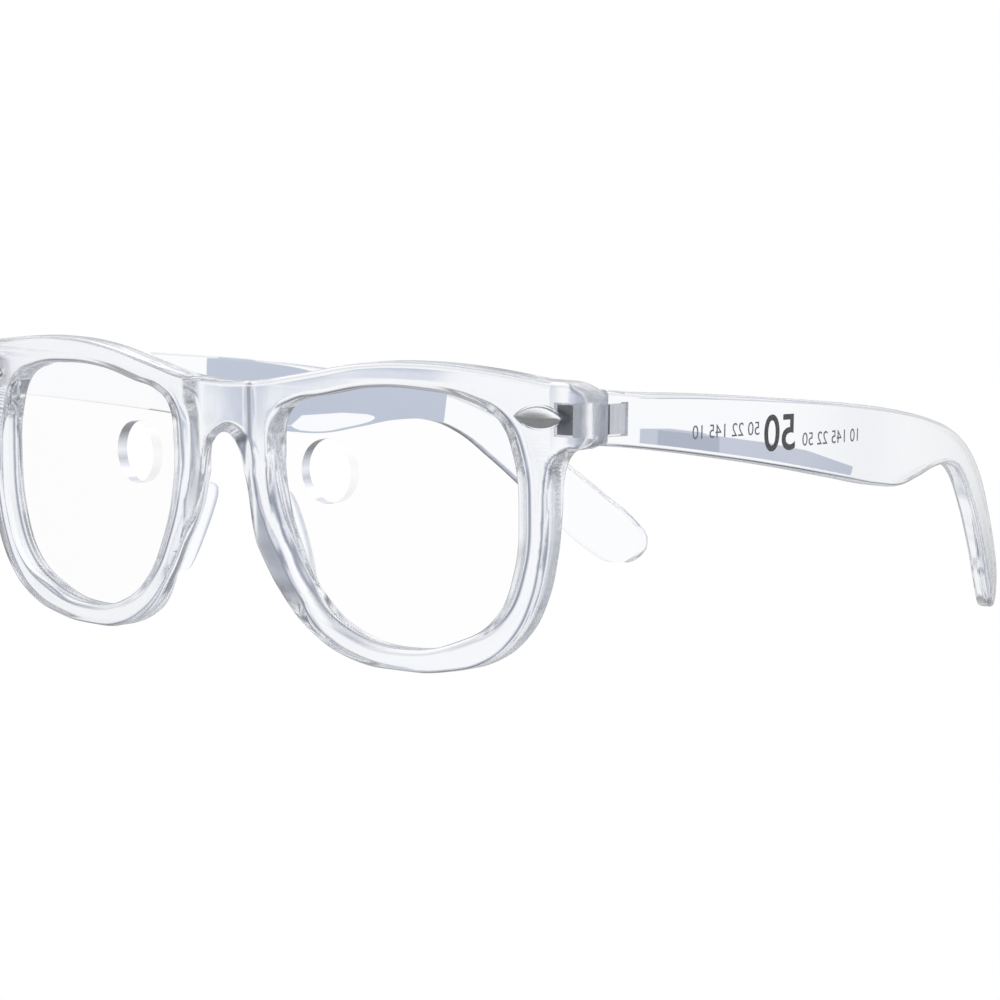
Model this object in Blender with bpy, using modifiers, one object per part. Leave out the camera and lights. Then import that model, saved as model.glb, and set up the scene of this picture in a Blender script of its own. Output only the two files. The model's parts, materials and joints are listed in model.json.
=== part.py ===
"""Clear eye-drop guide glasses: a one-piece plastic front, two lenses with drop ports,
two folding temples on screwed metal hinges, decorative studs and bonded nose pads.

Metres. +X is the wearer's left, +Y runs back from the lenses to the temple tips, +Z is up.
The glasses rest on z = 0 with open temples, on their rims and temple tips; x = 0 is the
plane of symmetry. Outlines are drawn in millimetres in the front's own plane (x, z), with
z = 0 at the height of the lens centres, and then swept back, leaned and set in place.
"""
import math

import bmesh
import bpy
from mathutils import Matrix, Vector

MM = 0.001

# Front
FRONT_DEPTH = 0.0044        # front face to rear face of the rims
EDGE_ROUND = 0.0010         # rounding along every edge of the front
WRAP = math.radians(5.5)    # each rim turns back this much from the bridge
WRAP_BLEND = 0.011          # half width over which the bridge bends
BRIDGE_SINK = 0.0014        # the bridge's face lies this far behind the rims' faces
BRIDGE_FLAT = 0.0048        # half width of the sunk face
BRIDGE_RISE = 0.0088        # where the sunk face has risen to the rims again
CORNER_START = 0.0675       # x where the front face starts to roll round the outer corner
CORNER_SINK = 0.0022        # how far it has rolled back at the outer edge
HALF_WIDTH = 0.0730         # outer edge of the end pieces
NOSE_SPLAY = 0.62           # the rims' nose side opens outwards to the back at this slope
NOSE_BAND = 0.0036          # width of the rim that follows the splay
NOSE_BOTTOM = -0.019        # the splay fades out towards the rims' undersides
NOSE_FADE = 0.006
ARCH_CENTRE = 0.0045        # above this height the splay also opens the arch upwards
ARCH_SHARE = 0.45
ARCH_SPLAY = 0.5            # extra slope round the arch
ARCH_RISE = 0.004
LEAN = math.radians(2.2)    # the front's top leans forward
FRONT_Y = -0.0730           # bridge face, so that y = 0 is the middle of the length
LENS_HEIGHT = 0.02288       # lens centres above the table

# Lenses
LENS_THICK = 0.0018
LENS_LAP = 0.0008           # the lens enters the rim's groove this far
GROOVE_SIDE_GAP = 0.00025
GROOVE_END_GAP = 0.00035
LENS_MIDDLE = 0.0017        # middle of the lens behind the front face
PORT_X = 0.02233            # drop port, over the inner upper part of the eye
PORT_Z = 0.00636
PORT_RADIUS = 0.0050

# Studs
STUD_X = 0.0642
STUD_Z = 0.0169
STUD_LENGTH = 0.0086
STUD_WIDTH = 0.0032
STUD_HEIGHT = 0.0009
STUD_PIN_RADIUS = 0.0006
STUD_PIN_LENGTH = 0.0016
POCKET_GAP = 0.0003         # gap around any inset piece
STUD_POCKET_DEPTH = 0.0006

# Hinges, drawn about the pin's axis
HINGE_X = 0.0677
HINGE_Z = 0.0398            # middle of the knuckles
BUTT_Y = FRONT_Y + 0.0104   # plane where the end piece meets the temple
HINGE_Y = BUTT_Y + 0.0019
KNUCKLE_RADIUS = 0.0015
PIN_HOLE_RADIUS = 0.00075
PIN_RADIUS = 0.00066
KNUCKLE_HEIGHT = 0.0014
KNUCKLE_GAP = 0.0001
TANG_WIDTH = 0.0028
TANG_LENGTH = 0.0031
LEAF_THICK = 0.0010
LEAF_LENGTH = 0.0036
SCREW_HEAD_RADIUS = 0.0013
SCREW_HEAD_HEIGHT = 0.0007
SCREW_SLOT = 0.0003

# Temples
TEMPLE_THICK = 0.0035
TEMPLE_OUTER_X = 0.0727     # outer face at the hinge
TEMPLE_ROUND = 0.0009
BUTT_GAP = 0.0003
BOW_START = 0.050           # behind the bridge face, the temple starts to curve inwards
BOW = 3.2                   # inward curve in metres per square metre
FOOT_SINK = 0.00018         # how much of the temple tips is ground flat

# Nose pads
PAD_LENGTH = 0.0160
PAD_DEPTH = 0.0026
PAD_THICK = 0.0028
PAD_PLACE = (0.0121, 0.0068, -0.0052)   # in the front's plane: x, depth, z
PAD_TILT = math.radians(27)
PAD_FLARE = math.radians(18)

# Half outlines in mm: the rim's opening, and the front's outer edge from top to nose arch
OPENING = [(22.2, 18.0), (31, 19.6), (41, 19.85), (50, 18.7), (56, 16.2), (58.9, 11.0),
           (59.8, 2.5), (58.8, -6.2), (55.0, -13.6), (47.5, -17.8), (37.5, -19.8),
           (27.0, -18.3), (19.8, -13.8), (15.0, -6.8), (12.1, 1.0), (11.4, 8.5),
           (12.6, 14.5), (16.4, 16.9)]
OUTLINE = [(0, 19.2), (9, 19.8), (18, 21.3), (30, 23.3), (42, 23.95), (54, 23.4), (64, 22.3),
           (71.0, 21.5), (72.8, 20.2), (73, 17), (72.8, 13.8), (71.4, 12.6), (68.6, 12.2),
           (66.4, 10.6), (65.4, 7.4), (65.1, 2.5), (64.4, -4), (62.6, -10.5), (59.2, -16),
           (53.6, -20.2), (45.5, -22.5), (36.5, -23.2), (27, -22.3), (19.5, -19.1),
           (13.8, -14.3), (9.2, -8.1), (6.2, -2.2), (4.4, 4.0), (2.7, 8.9), (0, 10.8)]
# The temple's side view in mm: distance behind the bridge face, height over the table
TEMPLE_TOP = [(3.0, 45.0), (10, 44.5), (18, 43.8), (30, 43.2), (50, 41.8), (70, 40.1), (85, 38.3),
              (97, 36.3), (108, 33.7), (117, 30.2), (125, 25.4), (132, 19.6), (139, 13.4), (144.4, 8.2)]
TEMPLE_TIP = [(146.3, 4.8), (145.2, 1.4), (141.8, 0.0), (137.8, 2.1)]
TEMPLE_UNDERSIDE = [(128, 11.9), (119, 20.6), (112.5, 25.8), (107, 28.0), (100, 28.3),
                    (92, 27.1), (85, 26.2), (77, 26.8), (65, 28.7), (50, 31.2), (35, 33.4),
                    (20, 35.3), (10, 36.3), (3.0, 36.8)]


# ---------------------------------------------------------------- helpers

def clear_scene():
    for obj in list(bpy.data.objects):
        bpy.data.objects.remove(obj, do_unlink=True)


def new_collection(name):
    collection = bpy.data.collections.new(name)
    bpy.context.scene.collection.children.link(collection)
    return collection


def material(name, colour, roughness, metallic=0.0, transmission=0.0, ior=1.5):
    mat = bpy.data.materials.new(name)
    mat.use_nodes = True
    shader = mat.node_tree.nodes["Principled BSDF"]
    shader.inputs["Base Color"].default_value = (*colour, 1.0)
    shader.inputs["Roughness"].default_value = roughness
    shader.inputs["Metallic"].default_value = metallic
    shader.inputs["Transmission Weight"].default_value = transmission
    shader.inputs["IOR"].default_value = ior
    return mat


def evaluated_mesh(obj, name):
    """The object's mesh with its modifiers, in world space."""
    depsgraph = bpy.context.evaluated_depsgraph_get()
    mesh = bpy.data.meshes.new_from_object(obj.evaluated_get(depsgraph))
    mesh.transform(obj.matrix_world)
    mesh.name = name
    return mesh


def mesh_object(name, mesh, mat=None):
    obj = bpy.data.objects.new(name, mesh)
    glasses.objects.link(obj)
    mesh.materials.clear()
    if mat:
        mesh.materials.append(mat)
    return obj


def from_bmesh(name, bm, mat=None):
    bmesh.ops.recalc_face_normals(bm, faces=bm.faces)
    if bm.calc_volume(signed=True) < 0:
        bmesh.ops.reverse_faces(bm, faces=bm.faces)
    mesh = bpy.data.meshes.new(name)
    bm.to_mesh(mesh)
    bm.free()
    return mesh_object(name, mesh, mat)


def as_cutter(obj):
    for collection in obj.users_collection:
        collection.objects.unlink(obj)
    cutters.objects.link(obj)
    obj.hide_render = True
    obj.display_type = "WIRE"
    return obj


def apply_boolean(obj, others, operation):
    """Join or cut with each of the others, and keep the result as the object's mesh."""
    for other in others:
        modifier = obj.modifiers.new(operation.title(), "BOOLEAN")
        modifier.operation = operation
        modifier.solver = "EXACT"
        modifier.object = other
    bpy.context.view_layer.update()
    mats = list(obj.data.materials)
    mesh = evaluated_mesh(obj, obj.name)
    obj.modifiers.clear()
    mesh.transform(obj.matrix_world.inverted())
    obj.data = mesh
    mesh.materials.clear()
    for mat in mats:
        mesh.materials.append(mat)
    return obj


def cut(obj, *others):
    return apply_boolean(obj, [as_cutter(other) for other in others], "DIFFERENCE")


def join(obj, *others):
    apply_boolean(obj, others, "UNION")
    for other in others:
        bpy.data.objects.remove(other, do_unlink=True)
    return obj


def box(name, low, high):
    bm = bmesh.new()
    bmesh.ops.create_cube(bm, size=1.0)
    low, high = Vector(low), Vector(high)
    size, middle = high - low, (high + low) / 2
    bm.transform(Matrix.Translation(middle) @ Matrix.Diagonal((*size, 1.0)))
    return from_bmesh(name, bm)


def cylinder(name, radius, low, high, centre=(0.0, 0.0), sides=24):
    """An upright cylinder from low to high."""
    bm = bmesh.new()
    bmesh.ops.create_cone(bm, cap_ends=True, segments=sides, radius1=radius, radius2=radius,
                          depth=high - low)
    bm.transform(Matrix.Translation((*centre, (high + low) / 2)))
    return from_bmesh(name, bm)


def smooth(obj, angle=35):
    obj.data.shade_smooth()
    obj.data.set_sharp_from_angle(angle=math.radians(angle))


def plate(name, loops, depth, edge_round=0.0, grow=0.0, steps=3, round_steps=1):
    """A flat outline with round edges: x and y are the outline's, z runs 0 to -depth."""
    curve = bpy.data.curves.new(name, "CURVE")
    curve.dimensions = "2D"
    curve.fill_mode = "BOTH"
    curve.resolution_u = steps
    curve.extrude = depth / 2 - edge_round
    curve.bevel_depth = edge_round
    curve.bevel_resolution = round_steps
    curve.offset = grow - edge_round
    for loop in loops:
        spline = curve.splines.new("BEZIER")
        spline.bezier_points.add(len(loop) - 1)
        for point, (x, y) in zip(spline.bezier_points, loop):
            point.co = (x * MM, y * MM, 0.0)
            point.handle_left_type = point.handle_right_type = "AUTO"
        spline.use_cyclic_u = True
    obj = bpy.data.objects.new(name, curve)
    glasses.objects.link(obj)
    bpy.context.view_layer.update()
    mesh = evaluated_mesh(obj, name)
    bpy.data.objects.remove(obj, do_unlink=True)
    bm = bmesh.new()
    bm.from_mesh(mesh)
    bmesh.ops.remove_doubles(bm, verts=bm.verts, dist=1e-6)
    bm.transform(Matrix.Translation((0, 0, -depth / 2)))
    return bm


def slice_across(bm, axis, places):
    """Add edges where the piece is going to bend."""
    normal = Vector([1.0 if i == axis else 0.0 for i in range(3)])
    for place in places:
        bmesh.ops.bisect_plane(bm, geom=bm.verts[:] + bm.edges[:] + bm.faces[:], dist=1e-7,
                               plane_co=normal * place, plane_no=normal)


def mirrored(points):
    return [(-x, z) for x, z in points]


def mirror_copy(obj, name):
    """The wearer's right-hand copy of a left-hand piece."""
    mesh = obj.data.copy()
    mesh.transform(obj.matrix_world)
    mesh.transform(Matrix.Scale(-1, 4, (1, 0, 0)))
    mesh.flip_normals()
    mesh.name = name
    copy = bpy.data.objects.new(name, mesh)
    glasses.objects.link(copy)
    return copy


def set_pivot(obj, empty):
    """Put the object's origin on the joint's axis and parent it to the pivot."""
    place = empty.matrix_world.translation
    obj.data.transform(Matrix.Translation(-place) @ obj.matrix_world)
    obj.parent = empty
    obj.matrix_world = Matrix.Translation(place)


# ---------------------------------------------------------------- the front's shape

def sweep(x):
    """How far the front face has gone back at x."""
    x = abs(x)
    if x < WRAP_BLEND:
        return math.tan(WRAP) * x * x / (2 * WRAP_BLEND)
    return math.tan(WRAP) * (x - WRAP_BLEND / 2)


def face_sink(x):
    """The bridge's sunk face, and the roll of the end pieces' outer corners."""
    x = abs(x)
    rise = min(max((x - BRIDGE_FLAT) / (BRIDGE_RISE - BRIDGE_FLAT), 0.0), 1.0)
    bridge = BRIDGE_SINK * (1 - rise * rise * (3 - 2 * rise))
    roll = min(max((x - CORNER_START) / (HALF_WIDTH - CORNER_START), 0.0), 1.0)
    return bridge + CORNER_SINK * (1 - math.sqrt(1 - roll * roll))


def rear_face(x, z):
    """Depth of the rear face: parallel to the front, but upright where the temple butts."""
    plain = sweep(x) + FRONT_DEPTH
    butt = (BUTT_Y - FRONT_Y + z * math.sin(LEAN)) / math.cos(LEAN)
    blend = min(max((abs(x) - 0.0635) / 0.0025, 0.0), 1.0)
    return plain + (butt - plain) * blend


def nose_distance(x, z):
    """How far a point of the front lies from the edge of the nose gap."""
    edge = [Vector((px * MM, pz * MM)) for px, pz in OUTLINE[-7:]]
    point = Vector((abs(x), z))
    nearest = []
    for low, high in zip(edge, edge[1:]):
        run = high - low
        share = min(max((point - low).dot(run) / run.length_squared, 0.0), 1.0)
        nearest.append((low + run * share - point).length)
    return min(nearest)


def nose_splay(x, z, depth):
    """Shift in x and z of a point that opens the nose gap and its arch to the back."""
    band = min(max(1 - nose_distance(x, z) / NOSE_BAND, 0.0), 1.0)
    fade = min(max((z - NOSE_BOTTOM) / NOSE_FADE, 0.0), 1.0)
    over = max(z - ARCH_CENTRE, 0.0)
    slope = NOSE_SPLAY + ARCH_SPLAY * min(over / ARCH_RISE, 1.0)
    shift = slope * depth * band * fade
    away = Vector((2 * x, over)).normalized()
    return away.x * shift, away.y * shift * ARCH_SHARE


def lean_and_place():
    return Matrix.Translation((0, FRONT_Y, LENS_HEIGHT)) @ Matrix.Rotation(LEAN, 4, "X")


def lay_on_front(bm, shaped=False):
    """Turn a plate upright, sweep it back along the front, and put it in place."""
    for vert in bm.verts:
        x, z, depth = vert.co.x, vert.co.y, -vert.co.z
        near = sweep(x)
        if shaped:
            far = rear_face(x, z)
            near += face_sink(x)
            depth *= (far - near) / FRONT_DEPTH
            splay = nose_splay(x, z, depth)
            x, z = x + splay[0], z + splay[1]
        vert.co = (x, near + depth, z)
    bm.transform(lean_and_place())


def on_front(x, depth, z):
    """World place of a point given in the front's plane."""
    return lean_and_place() @ Vector((x, sweep(x) + depth, z))


def front_turn(side=1):
    """Turns a piece modelled facing -Y so that it lies flat on one rim."""
    return Matrix.Rotation(LEAN, 4, "X") @ Matrix.Rotation(side * WRAP, 4, "Z")


# ---------------------------------------------------------------- pieces

def frame_front():
    outline = OUTLINE + mirrored(OUTLINE[-2:0:-1])
    bm = plate("frame_front", [outline, OPENING, mirrored(OPENING)], FRONT_DEPTH, EDGE_ROUND)
    bends = [0.0, 0.0016, 0.0032, 0.0048, 0.0058, 0.0068, 0.0078, 0.0088, 0.011,
             0.0635, 0.066, 0.0675, 0.0695, 0.0710, 0.0722]
    slice_across(bm, 0, sorted({-b for b in bends} | set(bends)))
    lay_on_front(bm, shaped=True)
    return from_bmesh("frame_front", bm, clear_plastic)


def lens_plate(name, side, thick, grow, middle):
    loop = OPENING if side > 0 else mirrored(OPENING)
    bm = plate(name, [loop], thick, grow=grow)
    bm.transform(Matrix.Translation((0, 0, -(middle - thick / 2))))
    lay_on_front(bm)
    return bm


def lens(side):
    name = "lens_left" if side > 0 else "lens_right"
    obj = from_bmesh(name, lens_plate(name, side, LENS_THICK, LENS_LAP, LENS_MIDDLE), lens_plastic)
    port = cylinder("port_cutter", PORT_RADIUS, -0.006, 0.006, sides=40)
    turn = front_turn(side) @ Matrix.Rotation(math.pi / 2, 4, "X")
    port.data.transform(Matrix.Translation(on_front(side * PORT_X, LENS_MIDDLE, PORT_Z)) @ turn)
    cut(obj, port)
    smooth(obj)
    return obj


def groove_cutter(side):
    bm = lens_plate("groove_cutter", side, LENS_THICK + 2 * GROOVE_SIDE_GAP,
                    LENS_LAP + GROOVE_END_GAP, LENS_MIDDLE)
    return from_bmesh("groove_cutter", bm)


def almond(length, width, sides=8):
    """A pointed oval, the meeting of two arcs."""
    radius = (length * length + width * width) / (4 * width)
    reach = math.asin(length / 2 / radius)
    points = []
    for sign in (1, -1):
        for i in range(sides):
            angle = sign * (-reach + 2 * reach * i / sides)
            points.append((radius * math.sin(angle),
                           sign * (radius * math.cos(angle) - radius + width / 2)))
    return points


def almond_prism(name, length, width, near, far):
    """A pointed oval block in the XZ plane, from y = near to y = far."""
    bm = bmesh.new()
    verts = [bm.verts.new((x, near, z)) for x, z in almond(length, width)]
    face = bm.faces.new(verts)
    walls = bmesh.ops.extrude_face_region(bm, geom=[face])
    moved = [v for v in walls["geom"] if isinstance(v, bmesh.types.BMVert)]
    bmesh.ops.translate(bm, verts=moved, vec=(0, far - near, 0))
    return from_bmesh(name, bm)


def stud():
    """Domed almond head with a pin behind it, standing in its pocket in the end piece."""
    seat = STUD_POCKET_DEPTH - POCKET_GAP
    bm = bmesh.new()
    rings = []
    for step in range(4):
        turn = step / 4 * math.pi / 2
        shrink, height = math.cos(turn), math.sin(turn) * STUD_HEIGHT
        ring = almond(STUD_LENGTH * shrink, STUD_WIDTH * shrink)
        rings.append([bm.verts.new((x, -height, z)) for x, z in ring])
    rings.insert(0, [bm.verts.new((x, seat, z)) for x, z in almond(STUD_LENGTH, STUD_WIDTH)])
    count = len(rings[0])
    for low, high in zip(rings, rings[1:]):
        for i in range(count):
            bm.faces.new((low[i], low[(i + 1) % count], high[(i + 1) % count], high[i]))
    bm.faces.new(rings[0])
    top = bm.verts.new((0, -STUD_HEIGHT, 0))
    for i in range(count):
        bm.faces.new((rings[-1][i], rings[-1][(i + 1) % count], top))
    head = from_bmesh("stud_left", bm, satin_metal)
    pin = cylinder("pin", STUD_PIN_RADIUS, -STUD_PIN_LENGTH - seat, 0.0002, sides=16)
    pin.data.transform(Matrix.Rotation(math.pi / 2, 4, "X"))
    join(head, pin)
    return head


def stud_pocket():
    pocket = almond_prism("stud_pocket", STUD_LENGTH + 2.6 * POCKET_GAP,
                          STUD_WIDTH + 2 * POCKET_GAP, -0.004, STUD_POCKET_DEPTH)
    drill = cylinder("drill", STUD_PIN_RADIUS + POCKET_GAP,
                     -STUD_PIN_LENGTH - STUD_POCKET_DEPTH - POCKET_GAP, 0.0, sides=16)
    drill.data.transform(Matrix.Rotation(math.pi / 2, 4, "X"))
    return join(pocket, drill)


def place_on_end_piece(obj):
    turn = Matrix.Translation(on_front(STUD_X, 0.0, STUD_Z)) @ front_turn()
    obj.data.transform(turn)
    return obj


def knuckle_span(index):
    """Lower and upper end of one of the three stacked knuckles."""
    total = 3 * KNUCKLE_HEIGHT + 2 * KNUCKLE_GAP
    low = HINGE_Z - total / 2 + index * (KNUCKLE_HEIGHT + KNUCKLE_GAP)
    return low, low + KNUCKLE_HEIGHT


def hinge_front_leaf():
    """Two knuckles on a tang that is set into the end piece."""
    low, high = knuckle_span(0)[0], knuckle_span(2)[1]
    half = TANG_WIDTH / 2
    back = -KNUCKLE_RADIUS - 0.0003
    leaf = box("hinge_front_left", (-half, back - TANG_LENGTH, low), (half, back, high))
    leaf.data.materials.append(steel)
    arms = []
    for index in (0, 2):
        bottom, top = knuckle_span(index)
        arms.append(box("arm", (-half + 0.0002, back - 0.001, bottom), (half - 0.0002, 0, top)))
        arms.append(cylinder("barrel", KNUCKLE_RADIUS, bottom, top))
    join(leaf, *arms)
    cut(leaf, cylinder("bore", PIN_HOLE_RADIUS, low - 0.001, high + 0.001))
    return leaf


def hinge_temple_leaf():
    """One knuckle on a leaf that lies in the temple's inner face."""
    low, high = knuckle_span(0)[0], knuckle_span(2)[1]
    bottom, top = knuckle_span(1)
    inner = KNUCKLE_RADIUS + 0.00015
    leaf = box("hinge_temple_left", (inner, 0.0003, low), (inner + LEAF_THICK, LEAF_LENGTH, high))
    leaf.data.materials.append(steel)
    web = box("web", (0, 0.0001, bottom), (inner + 0.0004, KNUCKLE_RADIUS - 0.0002, top))
    join(leaf, web, cylinder("barrel", KNUCKLE_RADIUS, bottom, top))
    cut(leaf, cylinder("bore", PIN_HOLE_RADIUS, low - 0.001, high + 0.001))
    return leaf


def hinge_screw():
    """Shank through all three knuckles, with a slotted head on top."""
    low, high = knuckle_span(0)[0] - 0.0004, knuckle_span(2)[1] + 0.0001
    screw = cylinder("hinge_screw_left", PIN_RADIUS, low, high + 0.0003, sides=20)
    screw.data.materials.append(steel)
    head = cylinder("head", SCREW_HEAD_RADIUS, high, high + SCREW_HEAD_HEIGHT)
    join(screw, head)
    top = high + SCREW_HEAD_HEIGHT
    reach = 2 * SCREW_HEAD_RADIUS
    cut(screw, box("slot", (-reach, -SCREW_SLOT / 2, top - 0.00035),
                   (reach, SCREW_SLOT / 2, top + 0.001)))
    return screw


def place_on_hinge(obj):
    obj.data.transform(Matrix.Translation((HINGE_X, HINGE_Y, 0)))
    smooth(obj)
    return obj


def tang_pocket():
    """Slot in the end piece's rear face for the hinge's tang."""
    low, high = knuckle_span(0)[0] - POCKET_GAP, knuckle_span(2)[1] + POCKET_GAP
    half = TANG_WIDTH / 2 + POCKET_GAP
    back = -KNUCKLE_RADIUS - 0.0003
    pocket = box("tang_pocket", (-half, back - TANG_LENGTH - POCKET_GAP, low),
                 (half, 0.002, high))
    pocket.data.transform(Matrix.Translation((HINGE_X, HINGE_Y, 0)))
    return pocket


def leaf_pocket():
    """Recess in the temple's inner face for the hinge's leaf."""
    low, high = knuckle_span(0)[0] - POCKET_GAP, knuckle_span(2)[1] + POCKET_GAP
    inner = KNUCKLE_RADIUS + 0.00015
    pocket = box("leaf_pocket", (-0.003, -0.004, low),
                 (inner + LEAF_THICK + POCKET_GAP, LEAF_LENGTH + POCKET_GAP, high))
    pocket.data.transform(Matrix.Translation((HINGE_X, HINGE_Y, 0)))
    return pocket


def temple():
    """Side view extruded across, then curved inwards towards the tip."""
    loop = TEMPLE_TOP + TEMPLE_TIP + TEMPLE_UNDERSIDE
    bm = plate("temple_left", [loop], TEMPLE_THICK, TEMPLE_ROUND)
    slice_across(bm, 0, [BOW_START + 0.0078 * i for i in range(1, 12)])
    butt = BUTT_Y + BUTT_GAP
    for vert in bm.verts:
        along, height, across = vert.co.x, vert.co.y, vert.co.z
        inward = BOW * max(along - BOW_START, 0.0) ** 2
        vert.co = (TEMPLE_OUTER_X + across - inward, FRONT_Y + along, height - FOOT_SINK)
    obj = from_bmesh("temple_left", bm, clear_plastic)
    cut(obj, box("butt_cutter", (0.05, FRONT_Y - 0.01, 0), (0.09, butt, 0.06)), leaf_pocket(),
        foot_cutter())
    smooth(obj)
    return obj


def foot_cutter():
    """Everything below the table, which grinds the feet flat."""
    return box("foot_cutter", (-0.1, -0.1, -0.01), (0.1, 0.1, 0.0))


def nose_pad():
    """A rounded pad behind the nose side of the rim, flaring outwards to the back."""
    bm = bmesh.new()
    bmesh.ops.create_cube(bm, size=1.0)
    bm.transform(Matrix.Diagonal((PAD_THICK, PAD_DEPTH, PAD_LENGTH, 1.0)))
    bmesh.ops.subdivide_edges(bm, edges=bm.edges, cuts=1, use_grid_fill=True)
    for vert in bm.verts:
        along = vert.co.z / PAD_LENGTH
        taper = 0.85 + 0.5 * along - along * along
        vert.co.y = (vert.co.y + PAD_DEPTH / 2) * taper - PAD_DEPTH / 2
    turn = Matrix.Rotation(-PAD_TILT, 4, "Y") @ Matrix.Rotation(-PAD_FLARE, 4, "Z")
    bm.transform(Matrix.Translation(PAD_PLACE) @ turn)
    bm.transform(lean_and_place())
    obj = from_bmesh("nose_pad_left", bm, pad_plastic)
    subdivision = obj.modifiers.new("Subdivision", "SUBSURF")
    subdivision.levels = subdivision.render_levels = 2
    bpy.context.view_layer.update()
    mesh = evaluated_mesh(obj, "nose_pad_left")
    obj.modifiers.clear()
    obj.data = mesh
    smooth(obj, 60)
    return obj


def pivot(side):
    name = "left_temple_pivot" if side > 0 else "right_temple_pivot"
    empty = bpy.data.objects.new(name, None)
    empty.empty_display_size = 0.01
    empty.location = (side * HINGE_X, HINGE_Y, HINGE_Z)
    glasses.objects.link(empty)
    bpy.context.view_layer.update()
    return empty


# ---------------------------------------------------------------- assembly

def build():
    front = frame_front()
    pockets = []
    for maker in (stud_pocket, tang_pocket):
        pocket = maker()
        if maker is stud_pocket:
            place_on_end_piece(pocket)
        pockets += [pocket, mirror_copy(pocket, pocket.name + "_right")]
    cut(front, groove_cutter(1), groove_cutter(-1), foot_cutter(), *pockets)
    smooth(front)
    lens(1)
    lens(-1)

    left_pieces = [place_on_end_piece(stud()), place_on_hinge(hinge_front_leaf()),
                   place_on_hinge(hinge_screw()), nose_pad()]
    smooth(left_pieces[0])
    moving_pieces = [temple(), place_on_hinge(hinge_temple_leaf())]
    for piece in left_pieces:
        mirror_copy(piece, piece.name.replace("left", "right"))
    pivots = {side: pivot(side) for side in (1, -1)}
    for piece in moving_pieces:
        set_pivot(mirror_copy(piece, piece.name.replace("left", "right")), pivots[-1])
        set_pivot(piece, pivots[1])


clear_scene()
glasses = new_collection("eye_drop_guide_glasses")
cutters = new_collection("cutters")
clear_plastic = material("clear_plastic", (0.93, 0.94, 0.98), 0.06, transmission=1.0, ior=1.53)
lens_plastic = material("lens_plastic", (0.98, 0.98, 1.0), 0.02, transmission=1.0, ior=1.5)
pad_plastic = material("pad_plastic", (0.93, 0.94, 0.98), 0.12, transmission=1.0, ior=1.5)
satin_metal = material("satin_metal", (0.62, 0.63, 0.65), 0.3, metallic=1.0)
steel = material("steel", (0.66, 0.67, 0.7), 0.25, metallic=1.0)
build()
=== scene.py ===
"""The looks of the clear eye-drop guide glasses: finely meshed clear mouldings, polished
lenses, brushed studs, steel hinges and a size print, in a white studio.

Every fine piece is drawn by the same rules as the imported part, in metres, in its frame:
+X is the wearer's left, +Y runs back to the temple tips, +Z is up, and the glasses rest
on z = 0. Only the groove round each lens is left out. The front's outlines are in
millimetres in its own plane. The temple's are in millimetres behind the bridge's face and
above the table.
"""
import json
import math

import bmesh
import bpy
from mathutils import Matrix, Vector


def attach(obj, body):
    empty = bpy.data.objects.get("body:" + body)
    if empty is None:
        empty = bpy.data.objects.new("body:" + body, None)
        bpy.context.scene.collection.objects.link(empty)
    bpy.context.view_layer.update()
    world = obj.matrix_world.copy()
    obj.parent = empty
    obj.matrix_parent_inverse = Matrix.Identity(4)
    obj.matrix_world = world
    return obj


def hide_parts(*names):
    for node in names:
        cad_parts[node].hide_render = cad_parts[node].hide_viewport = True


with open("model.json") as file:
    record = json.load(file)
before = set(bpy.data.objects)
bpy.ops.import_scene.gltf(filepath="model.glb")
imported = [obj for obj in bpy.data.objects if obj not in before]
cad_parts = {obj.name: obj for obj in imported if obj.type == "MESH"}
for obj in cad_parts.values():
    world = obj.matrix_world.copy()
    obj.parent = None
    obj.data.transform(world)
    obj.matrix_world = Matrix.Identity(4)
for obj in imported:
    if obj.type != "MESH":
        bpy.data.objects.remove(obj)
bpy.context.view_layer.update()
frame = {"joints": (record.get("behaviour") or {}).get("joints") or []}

MM = 0.001

# Front
FRONT_DEPTH = 0.0044        # front face to rear face of the rims
EDGE_ROUND = 0.0010         # rounding along every edge of the front
WRAP = math.radians(5.5)    # each rim turns back this much from the bridge
WRAP_BLEND = 0.011          # half width over which the bridge bends
BRIDGE_SINK = 0.0014        # the bridge's face lies behind the rims' faces
BRIDGE_FLAT = 0.0048        # half width of the sunk face
BRIDGE_RISE = 0.0088        # where the sunk face has risen to the rims again
CORNER_START = 0.0675       # where the outer corners start to roll back
CORNER_SINK = 0.0022        # how far they have rolled back at the outer edge
HALF_WIDTH = 0.0730         # outer edge of the end pieces
BUTT_START = 0.0635         # where the rear face starts to turn upright for the temple
BUTT_BLEND = 0.0025
BUTT_END = 0.0727           # the bends in the mesh reach from BUTT_START to here
NOSE_SPLAY = 0.62           # the rims' nose side opens outwards to the back at this slope
NOSE_BAND = 0.0036          # width of the rim that follows the splay
NOSE_BOTTOM = -0.019        # the splay fades out towards the rims' undersides
NOSE_FADE = 0.006
NOSE_POINTS = 7             # points at the end of OUTLINE that edge the nose gap
ARCH_CENTRE = 0.0045        # above this height the splay also opens the arch upwards
ARCH_SHARE = 0.45           # part of the splay that opens the arch upwards
ARCH_SPLAY = 0.5            # extra slope round the arch
ARCH_RISE = 0.004           # height over which the extra slope sets in
LEAN = math.radians(2.2)    # the front's top leans forward
FRONT_Y = -0.0730           # the bridge's face
LENS_HEIGHT = 0.02288       # lens centres above the table

# Lenses
LENS_THICK = 0.0018
LENS_GAP = 0.00006          # between the lens's edge and the rim
LENS_MIDDLE = 0.0017        # middle of the lens behind the front face
PORT_X = 0.02233            # drop port, over the inner upper part of the eye
PORT_Z = 0.00636
PORT_RADIUS = 0.0050
PORT_CUT = 0.006            # half length of the cutter

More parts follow.
